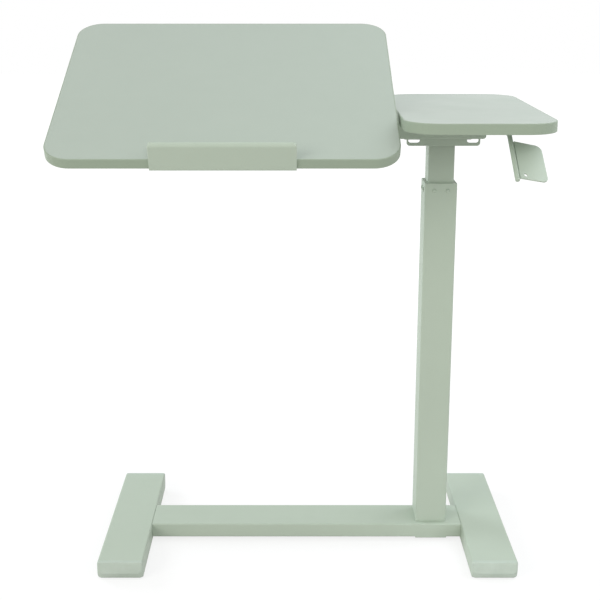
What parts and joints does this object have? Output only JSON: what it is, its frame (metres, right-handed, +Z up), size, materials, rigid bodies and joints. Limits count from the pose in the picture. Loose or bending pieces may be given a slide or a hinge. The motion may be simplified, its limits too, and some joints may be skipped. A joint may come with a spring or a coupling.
{
  "type": "overbed table",
  "caption": "Free-standing overbed table: tilting main panel with a book stop and a fixed side tray on a telescopic square column with a squeeze height release and a flat H base.",
  "frame": {"origin": "on the floor, under the middle of the table's overall box", "axes": "+Z up, +X towards the side tray, -Y towards the user, who faces the book stop"},
  "size_m": [0.735, 0.4156, 0.8515],
  "materials": {
    "paint": "matte sage powder coat",
    "laminate": "matte sage laminate on particle board",
    "edging": "matte sage edge band",
    "cap_plastic": "fine-textured sage moulding",
    "zinc": "bright zinc plate",
    "painted_rivet": "painted over with the column",
    "rubber": "matte black rubber",
    "nylon": "natural nylon",
    "friction_disc": "dark fibre friction disc",
    "black_steel": "black paint",
    "bright_steel": "ground steel"
  },
  "bodies": {
    "base": {"foot_left": "paint", "foot_right": "paint", "foot_cap_left_front": "cap_plastic", "foot_cap_left_rear": "cap_plastic", "foot_cap_right_front": "cap_plastic", "foot_cap_right_rear": "cap_plastic", "glide_left_front": "rubber", "glide_left_rear": "rubber", "glide_right_front": "rubber", "glide_right_rear": "rubber", "crossbar": "paint", "crossbar_plug_left": "zinc", "crossbar_plug_right": "zinc", "foot_bolts": "zinc", "foot_sleeves": "zinc", "under_plate": "paint", "column_sleeves": "zinc", "column_bolts": "zinc", "column_foot_plate": "paint", "outer_column": "paint", "upper_guide": "nylon", "guide_rivets": "painted_rivet", "gas_spring_cylinder": "black_steel", "gas_spring_nut": "zinc"},
    "lift": {"inner_column": "paint", "lower_guide": "nylon", "gas_spring_rod": "bright_steel", "rod_nuts": "zinc", "column_head": "paint", "support_beam": "paint", "hinge_arm_left": "paint", "hinge_arm_right": "paint", "beam_bolts": "zinc", "beam_nuts": "zinc", "bumper_left": "rubber", "bumper_right": "rubber", "tray_plate": "paint", "tray_screws": "zinc", "beam_screws": "zinc", "tray_board": "laminate", "tray_edging": "edging", "shaft_saddle_left": "cap_plastic", "shaft_saddle_right": "cap_plastic", "saddle_screws": "zinc", "rocker_pin": "bright_steel"},
    "lever": {"release_rod": "paint", "lever_paddle": "paint", "release_finger": "paint"},
    "rocker": {"release_rocker": "zinc"},
    "valve_pin": {"release_pin": "bright_steel"},
    "panel": {"main_panel": "laminate", "panel_edging": "edging", "panel_bracket_left": "paint", "panel_bracket_right": "paint", "bracket_screws": "zinc", "pivot_bolts": "zinc", "friction_washers": "friction_disc", "lock_nuts": "zinc", "book_stop": "paint", "book_stop_screws": "zinc"}
  },
  "joints": [
    {"name": "height_slide", "type": "slide", "parent": "base", "child": "lift", "axis": [0, 0, 1], "range_m": [-0.03, 0.3]},
    {"name": "panel_tilt", "type": "hinge", "parent": "lift", "child": "panel", "pos_m": [-0.1125, -0.08416, 0.696], "axis": [1, 0, 0], "range_deg": [-25.5, 34.5]},
    {"name": "release_lever", "type": "hinge", "parent": "lift", "child": "lever", "pos_m": [0.2525, -0.10366, 0.707], "axis": [-1, 0, 0], "range_deg": [0, 16], "stiffness_Nm_per_rad": 1.5},
    {"name": "rocker_pivot", "type": "hinge", "parent": "lift", "child": "rocker", "pos_m": [0.2215, 0.02584, 0.7007], "axis": [1, 0, 0], "range_deg": [0, 6.2]},
    {"name": "valve_pin_slide", "type": "slide", "parent": "lift", "child": "valve_pin", "axis": [0, 0, -1], "range_m": [0, 0.0021]}
  ],
  "couplings": [
    {"joint": "rocker_pivot", "follows": "release_lever", "ratio": 0.381},
    {"joint": "valve_pin_slide", "follows": "release_lever", "m_per_rad": 0.0073}
  ]
}
